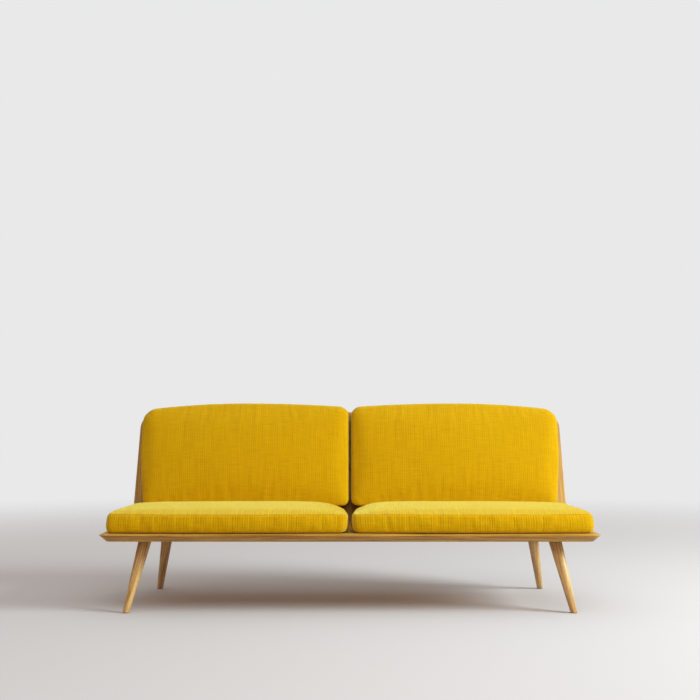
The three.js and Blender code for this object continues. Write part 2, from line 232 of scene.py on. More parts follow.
def mustard_weave(name, unevenness_and_painted_rib_shade):
    """Slubbed plain weave of wool and cotton, dyed mustard. Warp threads of uneven thickness draw
    fine lines up and down, the weft crosses them more faintly, and the nap pales where it is seen
    at a slant. The second argument is how far the warp's thick and thin threads differ in colour,
    up to 1; above the backs' 0.5 the added contrast is painted shade and highlight on the ribs."""
    material, tree = new_material(name)
    place = add_node(tree, "UVMap", {}, uv_map="weave")
    across = add_node(tree, "SeparateXYZ", {"Vector": place})

    # Plain weave. The real threads are 1.2 mm apart; here 2.4 mm, so that they show close up.
    thread = pi / 0.0024
    warp_phase = add_node(tree, "Math", {0: across.outputs["X"], 1: thread}, operation="MULTIPLY")
    weft_phase = add_node(tree, "Math", {0: across.outputs["Y"], 1: thread}, operation="MULTIPLY")
    warp_wave = add_node(tree, "Math", {0: warp_phase}, operation="SINE")
    weft_wave = add_node(tree, "Math", {0: weft_phase}, operation="SINE")
    over = add_node(tree, "Math", {0: warp_wave, 1: weft_wave}, operation="MULTIPLY")
    warp_round = add_node(tree, "Math", {0: warp_wave}, operation="ABSOLUTE")
    weft_round = add_node(tree, "Math", {0: weft_wave}, operation="ABSOLUTE")
    warp_over = add_node(tree, "MapRange", {
        "Value": over, "From Min": -1.0, "From Max": 1.0, "To Min": 0.35, "To Max": 1.0,
    })
    weft_over = add_node(tree, "MapRange", {
        "Value": over, "From Min": -1.0, "From Max": 1.0, "To Min": 1.0, "To Max": 0.35,
    })
    warp_height = add_node(tree, "Math", {0: warp_round, 1: warp_over}, operation="MULTIPLY")
    weft_height = add_node(tree, "Math", {0: weft_round, 1: weft_over}, operation="MULTIPLY")
    threads = add_node(tree, "Math", {0: warp_height, 1: weft_height}, operation="MAXIMUM")

    # Slubs: thick stretches of warp 4 mm wide and 160 mm long, and of weft 4 mm and 70 mm.
    warp_place = add_node(tree, "VectorMath", {0: place, 1: (260, 6, 1)}, operation="MULTIPLY")
    warp_slubs = add_node(tree, "TexNoise", {
        "Vector": warp_place, "Scale": 1.0, "Detail": 1.0, "Roughness": 0.6,
    }, noise_dimensions="2D")
    weft_place = add_node(tree, "VectorMath", {0: place, 1: (14, 250, 1)}, operation="MULTIPLY")
    weft_slubs = add_node(tree, "TexNoise", {
        "Vector": weft_place, "Scale": 1.0, "Detail": 1.0, "Roughness": 0.6,
    }, noise_dimensions="2D")
    warp_line = add_node(tree, "MapRange", {
        "Value": warp_slubs, "From Min": 0.25, "From Max": 0.75,
        "To Min": 0.18 * (1 - unevenness_and_painted_rib_shade), "To Max": 0.18 * (1 + unevenness_and_painted_rib_shade),
    })
    weft_line = add_node(tree, "MapRange", {
        "Value": weft_slubs, "From Min": 0.25, "From Max": 0.75, "To Min": 0.0, "To Max": 0.16,
    })
    slubs = add_node(tree, "Math", {0: warp_line, 1: weft_line}, operation="ADD")

    # Ribs: about every fourth warp thread is a thicker one, 9.3 mm from the next, never quite evenly.
    sway = add_node(tree, "Math", {0: warp_slubs, 1: 2.2}, operation="MULTIPLY")
    rib_phase = add_node(tree, "Math", {
        0: across.outputs["X"], 1: 2 * pi / 0.0093, 2: sway,
    }, operation="MULTIPLY_ADD")
    rib_wave = add_node(tree, "Math", {0: rib_phase}, operation="SINE")
    ribs = add_node(tree, "MapRange", {
        "Value": rib_wave, "From Min": -1.0, "From Max": 1.0,
        "To Min": 0.13 * (1 - unevenness_and_painted_rib_shade), "To Max": 0.13 * (1 + unevenness_and_painted_rib_shade),
    })
    thickness = add_node(tree, "Math", {0: slubs, 1: ribs}, operation="ADD")

    dyed = add_node(tree, "Mix", {
        "Factor": thickness, "A": linear("#B67E01"), "B": linear("#F6C406"),
    }, data_type="RGBA")
    # Painted shade: the hollows between the threads are darkened towards a deep orange, up to 0.35 of
    # the way.
    shade = add_node(tree, "MapRange", {"Value": threads, "To Min": 0.35, "To Max": 0.0})
    colour = add_node(tree, "Mix", {
        "Factor": shade, "A": dyed, "B": linear("#8C6402"),
    }, data_type="RGBA")
    height = add_node(tree, "Math", {0: thickness, 1: 1.5, 2: threads}, operation="MULTIPLY_ADD")
    bump = add_node(tree, "Bump", {"Strength": 0.8, "Distance": 0.0007, "Height": height})
    shader = add_node(tree, "BsdfPrincipled", {
        "Base Color": colour, "Roughness": 0.9, "Normal": bump,
        "Specular IOR Level": 0.02, "Sheen Weight": 0.75, "Sheen Roughness": 0.42,
        "Sheen Tint": linear("#F8FF96"),
    })
    add_node(tree, "OutputMaterial", {"Surface": shader})
    return material


# The panel's veneer is the calmest in its bands. The legs' oak is painted paler and greyer than
# # the rails': a painted highlight for the side light on them. The rails' oak is painted darker,
# # for the shade under the frame's bevelled front edge.
OAK = oiled_oak("oiled oak", early="#CC9C42", late="#94611A", between="#B37F2C")
VENEERED_OAK = oiled_oak("oiled oak veneer", early="#C3933E", late="#A17128", between="#B37F2C")
TURNED_OAK_PAINTED_HIGHLIGHT = oiled_oak("oiled turned oak, painted highlight", early="#E0B779", late="#A87947", between="#C69963")
BEECH = planed_beech()
STEEL = powder_coated_steel()
FELT = pressed_felt()
# The seats' cloth is the backs' cloth with its threads painted in stronger contrast:
# # painted shade and highlight on the ribs, where the side light rakes the seat fronts.
SEAT_WEAVE = mustard_weave("slubbed mustard weave, painted rib shade", unevenness_and_painted_rib_shade=1.0)
BACK_WEAVE = mustard_weave("slubbed mustard weave", unevenness_and_painted_rib_shade=0.5)
FINISHES = {"oak": OAK, "slat_beech": BEECH, "black_steel": STEEL, "felt": FELT}


# ---- Modelling helpers ----

def keep_selected(piece):
    """Makes a piece the only selected one."""
    bpy.ops.object.select_all(action="DESELECT")
    piece.select_set(True)
    bpy.context.view_layer.objects.active = piece


def start_piece(name, add_primitive, **how):
    """Starts a piece from a primitive, whose place and turn go into its mesh."""
    scale = how.pop("scale", (1, 1, 1))
    bpy.ops.object.select_all(action="DESELECT")
    add_primitive(**how)
    piece = bpy.context.object
    piece.name = name
    piece.scale = scale
    bpy.ops.object.transform_apply(location=True, rotation=True, scale=True)
    return piece


def pick(piece, kind, test):
    """In edit mode, selects the faces, edges or corners that pass a test, and nothing else."""
    bpy.ops.mesh.select_mode(type=kind)
    bpy.ops.mesh.select_all(action="DESELECT")
    shape = bmesh.from_edit_mesh(piece.data)
    parts = {"FACE": shape.faces, "EDGE": shape.edges, "VERT": shape.verts}[kind]
    for part in parts:
        if test(part):
            part.select_set(True)
    bmesh.update_edit_mesh(piece.data)


def middle(part):
    """The middle of a face's or an edge's corners."""
    return sum((corner.co for corner in part.verts), Vector()) / len(part.verts)


def sharp(edge, angle=radians(30)):
    """Whether the faces on both sides of an edge meet at more than an angle."""
    return len(edge.link_faces) == 2 and edge.calc_face_angle() > angle


def copy_piece(source, name, place=None):
    """A copy of a piece with its own mesh, moved by a matrix. If that mirrors it, it is turned
    right side out."""
    copy = bpy.data.objects.new(name, source.data.copy())
    bpy.context.collection.objects.link(copy)
    if place:
        copy.data.transform(place)
        if place.determinant() < 0:
            keep_selected(copy)
            bpy.ops.object.mode_set(mode="EDIT")
            bpy.ops.mesh.select_all(action="SELECT")
            bpy.ops.mesh.normals_make_consistent(inside=False)
            bpy.ops.object.mode_set(mode="OBJECT")
    return copy


def join_pieces(target, others):
    """Joins other pieces' meshes into a piece."""
    keep_selected(target)
    for other in others:
        other.select_set(True)
    bpy.ops.object.join()
    return target


def finish(piece, slot, node, smooth=radians(35), material=None):
    """Gives a piece its finish, which is its slot's own unless another is given, and its place in
    the frame."""
    piece.data.materials.clear()
    piece.data.materials.append(material or FINISHES[slot])
    keep_selected(piece)
    bpy.ops.object.shade_smooth_by_angle(angle=smooth)
    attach(piece, "root")
    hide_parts(node)
    return piece


def box_centre(node):
    """The middle of a CAD node's box."""
    low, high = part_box(node)
    return (low + high) / 2


def lay_grain(piece, along, across, board):
    """Runs the grain through a piece: its points' places along, across and through a board."""
    through = along.cross(across)
    elsewhere = Vector([board * step for step in BOARD_STEP])
    grain = piece.data.attributes.new("grain", "FLOAT_VECTOR", "POINT")
    for value, corner in zip(grain.data, piece.data.vertices):
        place = corner.co
        value.vector = Vector((place.dot(along), place.dot(across), place.dot(through))) + elsewhere


# ---- Seat frame ----

def rail(node, along, across, board):
    """A rail: the CAD solid's shape with its flat faces made whole and its edges sanded."""
    piece = copy_piece(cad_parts[node], f"oak_{node}")
    keep_selected(piece)
    bpy.ops.mesh.customdata_custom_splitnormals_clear()
    bpy.ops.object.mode_set(mode="EDIT")
    bpy.ops.mesh.select_all(action="SELECT")
    bpy.ops.mesh.remove_doubles(threshold=1e-5)
    bpy.ops.mesh.dissolve_limited(angle_limit=radians(0.5))
    bpy.ops.object.mode_set(mode="OBJECT")
    sanding = piece.modifiers.new("sanding", "BEVEL")
    sanding.width = RAIL_EDGE
    sanding.segments = 2
    sanding.limit_method = "ANGLE"
    sanding.angle_limit = radians(25)
    bpy.ops.object.modifier_apply(modifier=sanding.name)
    lay_grain(piece, along, across, board)
    finish(piece, "oak", node)


long_rails = ["rail_front", "rail_rear"]
cross_rails = ["rail_left", "rail_right", "rail_centre", "leg_rail_left", "leg_rail_right"]
for board, node in enumerate(long_rails + cross_rails, start=FIRST_RAIL_BOARD):
    along, across = (X_AXIS, Y_AXIS) if node in long_rails else (Y_AXIS, X_AXIS)
    rail(node, along, across, board)


def slats():
    """Planed slats with rounded arrises, let into the front and rear rails."""
    nodes = [f"slat_{side}_{number}" for side in SIDES for number in range(1, SLATS_EACH_SIDE + 1)]
    low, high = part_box(nodes[0])
    first = start_piece(
        "slat_pattern", bpy.ops.mesh.primitive_cube_add, size=1,
        location=box_centre(nodes[0]), scale=high - low,
    )
    bpy.ops.object.mode_set(mode="EDIT")
    bpy.ops.mesh.select_all(action="SELECT")
    bpy.ops.mesh.bevel(offset=SLAT_EDGE, segments=3, affect="EDGES")
    bpy.ops.object.mode_set(mode="OBJECT")
    for board, node in enumerate(nodes, start=FIRST_SLAT_BOARD):
        shift = Matrix.Translation(box_centre(node) - box_centre(nodes[0]))
        slat = copy_piece(first, f"beech_{node}", shift)
        lay_grain(slat, Y_AXIS, X_AXIS, board)
        finish(slat, "slat_beech", node)
    bpy.data.objects.remove(first)


slats()


# ---- Back panel ----

def back_panel():
    """The panel is shaped upright, with its foot's front edge at the origin, and then leant back."""
    low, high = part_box("back_panel")
    length = (high.z - low.z) / cos(RECLINE)
    spare = PANEL_THICKNESS * tan(RECLINE) * 2  # below the foot, cut off level at the end
    width = high.x - low.x
    piece = start_piece(
        "oak_back_panel", bpy.ops.mesh.primitive_cube_add, size=1,
        location=(0, PANEL_THICKNESS / 2, (length - spare) / 2),
        scale=(width, PANEL_THICKNESS, length + spare),
    )
    bpy.ops.object.mode_set(mode="EDIT")
    pick(piece, "VERT", lambda corner: corner.co.z > length * 0.99)
    bpy.ops.transform.resize(value=(PANEL_TOP_WIDTH / width, 1, 1), center_override=(0, 0, 0))
    pick(
        piece, "EDGE", lambda edge: abs(middle(edge).x) > width * 0.49
        and middle(edge).z > length * 0.99
        and abs(edge.verts[0].co.y - edge.verts[1].co.y) > PANEL_THICKNESS / 2,
    )
    bpy.ops.mesh.bevel(offset=PANEL_CORNER, segments=20, affect="EDGES")
    pick(piece, "EDGE", lambda edge: sharp(edge) and middle(edge).z > -spare / 2)
    bpy.ops.mesh.bevel(offset=PANEL_EDGE, segments=3, affect="EDGES")
    bpy.ops.mesh.select_all(action="SELECT")
    bpy.ops.transform.rotate(value=RECLINE, orient_axis="X", center_override=(0, 0, 0))
    bpy.ops.transform.translate(value=(0, low.y, low.z))
    bpy.ops.mesh.bisect(plane_co=low, plane_no=Z_AXIS, clear_inner=True, use_fill=True)
    bpy.ops.object.mode_set(mode="OBJECT")
    lay_grain(piece, UP_PANEL, X_AXIS, PANEL_BOARD)
    finish(piece, "oak", "back_panel", material=VENEERED_OAK)


back_panel()


# ---- Legs, plates and glides ----

def leg(end):
    """A turned leg: a slim cone on its slanted axis, cut level at both ends, with broken edges."""
    low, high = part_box(f"leg_{end}_right")
    foot = box_centre(f"glide_{end}_right")
    foot.z = 0
    top = box_centre(f"leg_plate_{end}_right")
    top.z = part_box("leg_rail_right")[0].z
    axis = top - foot
    spare = 0.03  # past each end, cut off level
    taper = (LEG_TOP_RADIUS - LEG_FOOT_RADIUS) / axis.length
    piece = start_piece(
        f"oak_leg_{end}_right", bpy.ops.mesh.primitive_cone_add, vertices=48, end_fill_type="NGON",
        radius1=LEG_FOOT_RADIUS - taper * spare, radius2=LEG_TOP_RADIUS + taper * spare,
        depth=axis.length + 2 * spare,
        location=(foot + top) / 2, rotation=axis.to_track_quat("Z", "Y").to_euler(),
    )
    bpy.ops.object.mode_set(mode="EDIT")
    bpy.ops.mesh.select_all(action="SELECT")
    bpy.ops.mesh.bisect(plane_co=low, plane_no=Z_AXIS, clear_inner=True, use_fill=True)
    bpy.ops.mesh.select_all(action="SELECT")
    bpy.ops.mesh.bisect(plane_co=high, plane_no=Z_AXIS, clear_outer=True, use_fill=True)
    pick(piece, "EDGE", sharp)
    bpy.ops.mesh.bevel(offset=LEG_EDGE, segments=2, affect="EDGES")
    bpy.ops.object.mode_set(mode="OBJECT")
    return piece, axis.normalized()


def screw_head(name, radius, height, socket):
    """A low button head that points down, with a hexagonal socket. It hangs from the origin."""
    piece = start_piece(
        name, bpy.ops.mesh.primitive_cylinder_add, vertices=24, radius=radius, depth=height,
        location=(0, 0, -height / 2),
    )
    bpy.ops.object.mode_set(mode="EDIT")
    pick(piece, "EDGE", lambda edge: middle(edge).z < -height * 0.99)
    bpy.ops.mesh.bevel(offset=height * 0.7, segments=4, affect="EDGES", profile=0.6)
    pick(piece, "FACE", lambda face: face.normal.z < -0.99)
    bpy.ops.mesh.delete(type="FACE")
    rim = min(corner.co.z for corner in bmesh.from_edit_mesh(piece.data).verts)
    bpy.ops.mesh.primitive_circle_add(vertices=6, radius=socket, location=(0, 0, rim))
    pick(piece, "EDGE", lambda edge: edge.is_boundary or edge.is_wire)
    bpy.ops.mesh.bridge_edge_loops()
    pick(piece, "EDGE", lambda edge: edge.is_boundary)
    bpy.ops.mesh.edge_face_add()
    bpy.ops.mesh.extrude_region_move(TRANSFORM_OT_translate={"value": (0, 0, height * 0.55)})
    bpy.ops.mesh.select_all(action="SELECT")
    bpy.ops.mesh.normals_make_consistent(inside=False)
    bpy.ops.object.mode_set(mode="OBJECT")
    return piece


def leg_plate(name, node, screw):
    """A plate with round corners and four screws up into the rail."""
    low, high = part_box(node)
    centre = box_centre(node)
    thickness = high.z - low.z
    piece = start_piece(name, bpy.ops.mesh.primitive_cube_add, size=1, location=centre, scale=high - low)
    bpy.ops.object.mode_set(mode="EDIT")
    pick(piece, "EDGE", lambda edge: abs(edge.verts[0].co.z - edge.verts[1].co.z) > thickness / 2)
    bpy.ops.mesh.bevel(offset=PLATE_CORNER, segments=6, affect="EDGES")
    pick(piece, "EDGE", sharp)
    bpy.ops.mesh.bevel(offset=PLATE_EDGE, segments=2, affect="EDGES")
    bpy.ops.object.mode_set(mode="OBJECT")
    screws = []
    for x in (centre.x - PLATE_SCREW_REACH, centre.x + PLATE_SCREW_REACH):
        for y in (centre.y - PLATE_SCREW_REACH, centre.y + PLATE_SCREW_REACH):
            screws.append(copy_piece(screw, "plate_screw", Matrix.Translation((x, y, low.z))))
    return join_pieces(piece, screws)


def glide(name, node):
    """A round felt pad with soft rims."""
    low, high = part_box(node)
    piece = start_piece(
        name, bpy.ops.mesh.primitive_cylinder_add, vertices=32, radius=(high.x - low.x) / 2,
        depth=high.z - low.z, location=box_centre(node),
    )
    bpy.ops.object.mode_set(mode="EDIT")
    pick(piece, "EDGE", sharp)
    bpy.ops.mesh.bevel(offset=GLIDE_EDGE, segments=3, affect="EDGES")
    bpy.ops.object.mode_set(mode="OBJECT")
    return piece


plate_screw = screw_head("plate_screw_pattern", radius=0.0042, height=0.0022, socket=0.0016)
mirror = Matrix.Diagonal((-1, 1, 1, 1))
for number, end in enumerate(["front", "rear"]):
    right_leg, leg_axis = leg(end)
    left_leg = copy_piece(right_leg, f"oak_leg_{end}_left", mirror)
    left_axis = Vector((-leg_axis.x, leg_axis.y, leg_axis.z))
    lay_grain(right_leg, leg_axis, leg_axis.orthogonal().normalized(), FIRST_RIGHT_LEG_BOARD + number)
    lay_grain(left_leg, left_axis, left_axis.orthogonal().normalized(), FIRST_LEFT_LEG_BOARD + number)
    # The legs take the oak that is painted paler, as a painted highlight of the side light.
    finish(right_leg, "oak", f"leg_{end}_right", material=TURNED_OAK_PAINTED_HIGHLIGHT)
    finish(left_leg, "oak", f"leg_{end}_left", material=TURNED_OAK_PAINTED_HIGHLIGHT)
    for side in SIDES:
        plate = leg_plate(f"steel_plate_{end}_{side}", f"leg_plate_{end}_{side}", plate_screw)
        finish(plate, "black_steel", f"leg_plate_{end}_{side}")
        pad = glide(f"felt_glide_{end}_{side}", f"glide_{end}_{side}")
        finish(pad, "felt", f"glide_{end}_{side}")
bpy.data.objects.remove(plate_screw)


# ---- Back supports and their bolts ----

def support():
    """A flat bar bent twice: along under the rear rail, up behind its edge, then up the panel's back."""
    low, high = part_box("back_support_centre")
    half = SUPPORT_THICKNESS / 2
    edge_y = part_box("rail_rear")[1].y + SUPPORT_STAND_OFF
    panel_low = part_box("back_panel")[0]
    bar_offset = (PANEL_THICKNESS + half + GAP) / cos(RECLINE)
    under_z = low.z + half
    joins_z = panel_low.z + (edge_y - bar_offset - panel_low.y) / tan(RECLINE)
    second_reach = SUPPORT_BEND * tan(RECLINE / 2)
    upright_end = joins_z - second_reach
    top_z = high.z - half * sin(RECLINE)
    piece = start_piece(
        "steel_support", bpy.ops.mesh.primitive_plane_add, size=1, location=(0, low.y, under_z),
        rotation=(pi / 2, 0, 0), scale=(high.x - low.x, SUPPORT_THICKNESS, 1),
    )
    bpy.ops.object.mode_set(mode="EDIT")
    bpy.ops.mesh.select_all(action="SELECT")
    run = edge_y - SUPPORT_BEND - low.y
    bpy.ops.mesh.extrude_region_move(TRANSFORM_OT_translate={"value": (0, run, 0)})
    first_centre = (0, edge_y - SUPPORT_BEND, under_z + SUPPORT_BEND)
    bpy.ops.mesh.spin(steps=8, angle=-pi / 2, center=first_centre, axis=X_AXIS)
    rise = upright_end - under_z - SUPPORT_BEND
    bpy.ops.mesh.extrude_region_move(TRANSFORM_OT_translate={"value": (0, 0, rise)})
    second_centre = (0, edge_y + SUPPORT_BEND, upright_end)
    bpy.ops.mesh.spin(steps=4, angle=RECLINE, center=second_centre, axis=X_AXIS)
    bend_end = Vector((0, edge_y, joins_z)) + UP_PANEL * second_reach
    climb = UP_PANEL * ((top_z - bend_end.z) / cos(RECLINE))
    bpy.ops.mesh.extrude_region_move(TRANSFORM_OT_translate={"value": climb})
    bpy.ops.mesh.select_all(action="SELECT")
    bpy.ops.mesh.normals_make_consistent(inside=False)
    pick(piece, "EDGE", lambda edge: sharp(edge, radians(60)))
    bpy.ops.mesh.bevel(offset=SUPPORT_EDGE, segments=2, affect="EDGES")
    bpy.ops.object.mode_set(mode="OBJECT")
    return piece


bolt = screw_head("bolt_pattern", radius=0.0075, height=BOLT_HEIGHT, socket=0.0025)
bar = support()
behind_panel = Vector((0, cos(RECLINE), -sin(RECLINE)))
facing = behind_panel.to_track_quat("-Z", "Y").to_matrix().to_4x4()
for place in ("left", "centre", "right"):
    shift = Matrix.Translation((box_centre(f"back_support_{place}").x, 0, 0))
    finish(copy_piece(bar, f"steel_support_{place}", shift), "black_steel", f"back_support_{place}")
    for number in (1, 2):
        node = f"rail_bolt_{place}_{number}"
        foot = box_centre(node)
        foot.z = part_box(node)[1].z
        hanging = Matrix.Translation(foot)
        finish(copy_piece(bolt, f"steel_{node}", hanging), "black_steel", node)
        node = f"panel_bolt_{place}_{number}"
        foot = box_centre(node) - behind_panel * (BOLT_HEIGHT / 2)
        standing = Matrix.Translation(foot) @ facing
        finish(copy_piece(bolt, f"steel_{node}", standing), "black_steel", node)
bpy.data.objects.remove(bolt)
bpy.data.objects.remove(bar)


# ---- Cushions ----

CELL = 0.0095  # a square of the covers before they are filled
BAND_CLOTH = 2  # where a cover's band and its lower panel lie on the cloth, from its top panel
LOWER_CLOTH = 3
FILL_FRAMES = 20  # of cloth simulation, in which a cover fills out


def cover_block(name, half_x, half_y, rings):
    """A block of even squares, one ring of squares around it for each stretch of the band."""
    piece = start_piece(
        name, bpy.ops.mesh.primitive_grid_add, size=2,
        x_subdivisions=round(2 * half_x / CELL), y_subdivisions=round(2 * half_y / CELL),
        scale=(half_x, half_y, 1),
    )
    bpy.ops.object.mode_set(mode="EDIT")
    bpy.ops.mesh.select_all(action="SELECT")
    for _ in range(rings):
        bpy.ops.mesh.extrude_region_move(TRANSFORM_OT_translate={"value": (0, 0, 1)})
    bpy.ops.mesh.select_all(action="SELECT")
    bpy.ops.mesh.normals_make_consistent(inside=False)
    bpy.ops.object.mode_set(mode="OBJECT")
    return piece


def lay_weave(piece, half_x, half_y, heights):
    """Lays the cloth on a cover: panels cut straight with the warp, and a band that runs around."""
    weave = piece.data.uv_layers.new(name="weave")
    for face in piece.data.polygons:
        nx, ny, nz = face.normal
        for loop in face.loop_indices:
            x, y, ring = piece.data.vertices[piece.data.loops[loop].vertex_index].co
            up_band = heights[round(ring)] + BAND_CLOTH
            if nz > 0.5:
                place = (x, y)
            elif nz < -0.5:
                place = (x + LOWER_CLOTH, y)
            elif ny < -0.5:
                place = (x, up_band)
            elif nx > 0.5:
                place = (half_x + half_y + y, up_band)
            elif ny > 0.5:
                place = (2 * half_x + 2 * half_y - x, up_band)
            else:
                place = (3 * half_x + 3 * half_y - y, up_band)
            weave.data[loop].uv = place


def rounded_plan(x, y, half_x, half_y, corner):
    """Draws a corner of a square plan in to a round one."""
    past_x = abs(x) - (half_x - corner)
    past_y = abs(y) - (half_y - corner)
    if past_x <= 0 or past_y <= 0:
        return x, y
    pull = max(past_x, past_y) / hypot(past_x, past_y)
    return (
        copysign(half_x - corner + past_x * pull, x),
        copysign(half_y - corner + past_y * pull, y),
    )


def smooth_step(share):
    """Eases from 0 to 1 as the share goes from 0 to 1."""
    share = min(max(share, 0), 1)
    return share * share * (3 - 2 * share)


def risen(gap, reach):
    """0 at an edge, rising to 1 over a gap of about three times the reach."""
    return 1 - exp(-gap / reach)


def uneven(place, waves, seed):
    """Smooth unevenness from about -1 to 1, with so many waves to the metre along each axis."""
    return noise.noise(Vector([at * number for at, number in zip(place, waves)]) + seed)


def fill(pieces, caps):
    """Blows the covers out against their seams, as foam does, and eases each point's move to its cap."""
    scene = bpy.context.scene
    starts = {piece: [corner.co.copy() for corner in piece.data.vertices] for piece in pieces}
    for piece in pieces:
        cloth = piece.modifiers.new("fill", "CLOTH")
        settings = cloth.settings
        settings.quality = 5
        settings.mass = 0.3
        settings.tension_stiffness = 15
        settings.compression_stiffness = 15
        settings.shear_stiffness = 5
        settings.bending_stiffness = 0.5
        settings.use_pressure = True
        settings.uniform_pressure_force = 4
        settings.vertex_group_mass = "sewn"
        settings.shrink_min = -0.004  # cut a little large, so that it can dome
        settings.effector_weights.gravity = 0
        cloth.point_cache.frame_start = 1
        cloth.point_cache.frame_end = FILL_FRAMES
    for frame_number in range(1, FILL_FRAMES + 1):
        scene.frame_set(frame_number)
    for piece in pieces:
        keep_selected(piece)
        bpy.ops.object.modifier_apply(modifier="fill")
        cap = caps[piece]
        for corner, start in zip(piece.data.vertices, starts[piece]):
            move = corner.co - start
            if move.length > 0:
                corner.co = start + move * (cap * tanh(move.length / cap) / move.length)
    scene.frame_set(1)


def sew(piece, seams):
    """Draws each seam in as a narrow groove of its own depth, and smooths the cover once."""
    keep_selected(piece)
    bpy.ops.object.mode_set(mode="EDIT")
    for ring, depth in seams.items():
        ring_layer = bmesh.from_edit_mesh(piece.data).edges.layers.int["seam_ring"]
        pick(piece, "EDGE", lambda edge: edge[ring_layer] == ring)
        bpy.ops.mesh.bevel(offset=depth * 0.7, segments=1, affect="EDGES")
        bpy.ops.mesh.extrude_region_shrink_fatten(TRANSFORM_OT_shrink_fatten={"value": -depth})
    bpy.ops.object.mode_set(mode="OBJECT")
    piece.data.attributes.remove(piece.data.attributes["seam_ring"])
    smoothing = piece.modifiers.new("smoothing", "SUBSURF")
    smoothing.levels = smoothing.render_levels = 1
    bpy.ops.object.modifier_apply(modifier=smoothing.name)


def make_cover(name, half_x, half_y, profile, seams, place, held):
    """A cover: a block whose rings take the profile's heights and insets, and whose points are then
    placed. The panel it starts from, its seams and the points that are held don't move when it is
    filled."""
    last = len(profile) - 1
    piece = cover_block(name, half_x, half_y, last)
    heights = [height for height, _ in profile]
    lay_weave(piece, half_x, half_y, heights)
    edge_x = half_x - CELL / 4
    edge_y = half_y - CELL / 4
    sewn = []
    ring_of = {}
    for corner in piece.data.vertices:
        x, y, ring = corner.co
        ring = round(ring)
        at_edge = abs(x) > edge_x or abs(y) > edge_y
        ring_of[corner.index] = ring if at_edge else None
        if ring == 0 or (at_edge and ring in seams) or held(x, y, ring):
            sewn.append(corner.index)
        corner.co = place(x, y, ring)
    seam_ring = piece.data.attributes.new("seam_ring", "INT", "EDGE")
    for edge in piece.data.edges:
        a, b = (ring_of[index] for index in edge.vertices)
        seam_ring.data[edge.index].value = a if a == b and a in seams else 0
    group = piece.vertex_groups.new(name="sewn")
    group.add(sewn, 1.0, "REPLACE")
    return piece


# Seat cushions: a top panel, a band and a lower panel that wraps up under the band. The back
# cushion's weight presses the rear down, and the top domes more softly towards the other seat.
SEAT_CORNER = 0.024
SEAT_PROFILE = [
    # (height above the frame, inset) of each ring, from the flat underside up to the top seam
    (0.0000, 0.0240),
    (0.0010, 0.0150),
    (0.0016, 0.0060),
    (0.0080, 0.0022),
    (0.0210, 0.0000),
    (0.0340, 0.0006),
    (0.0470, 0.0027),
    (0.0590, 0.0058),
    (0.0697, 0.0098),
]
SEAT_LOWER_SEAM, SEAT_WIDEST, SEAT_TOP = 3, 4, 8  # rings
SEAT_SEAMS = {SEAT_LOWER_SEAM: 0.0008, SEAT_TOP: 0.0032}  # each groove's depth
SEAT_CROWN = 0.0115  # of the top above its rolled edges, in the middle
SEAT_CROWN_DEPTH = 0.38  # it is full this far behind the front
SEAT_CROWN_REACH = 0.12  # and about three times this far from the outer end
SEAT_ROLL = 0.0130  # of the rolled edges above their seam
SEAT_FRONT_REACH = 0.03  # the top rises from each edge over about three times its reach
SEAT_OUTER_REACH = 0.008
SEAT_INNER_REACH = 0.062
SEAT_REAR_REACH = 0.05
SEAT_UNEVEN = 0.0006  # of the top,
SEAT_WAVES = (9, 9, 9)  # in so many waves to the metre
SEAT_RIPPLE = 0.0022  # of the band, which its seams pull unevenly,
SEAT_RIPPLE_WAVES = (38, 38, 9)  # in so many waves
SEAT_BOW = 0.020  # the front's ends stand this far behind its middle at the top seam
SEAT_LOW_BOW = 0.4  # the share of that at the frame
SEAT_TUCK = 0.009  # the ends turn under this much further than the front,
SEAT_TUCK_HEIGHT = 0.005  # up to about three times this height
SEAT_END_INSET = 0.4  # the ends' share of the front's inset above the widest ring
SEAT_PART_LOW = 0.007  # each seat leaves the other this much more room at the frame than above,
SEAT_PART_REAR = 0.024  # and this much more at the rear than at the front,
SEAT_PART_CURVE = 1.5  # on this curve
SEAT_INNER_DIP = 0.014  # of the rear corner beside the other seat
SEAT_INNER_DIP_REACH = 0.045
SEAT_OUTER_DIP = 0.006  # of the rear corner at the outer end
SEAT_OUTER_DIP_REACH = 0.030
SEAT_PRESSED_DIP = 0.006  # of the band under a back cushion
SEAT_PRESSED = 0.3672  # height of the top where a back cushion stands on it
PRESSED_FROM = 0.045  # it sinks from this Y
PRESSED_TO = 0.088  # to this one


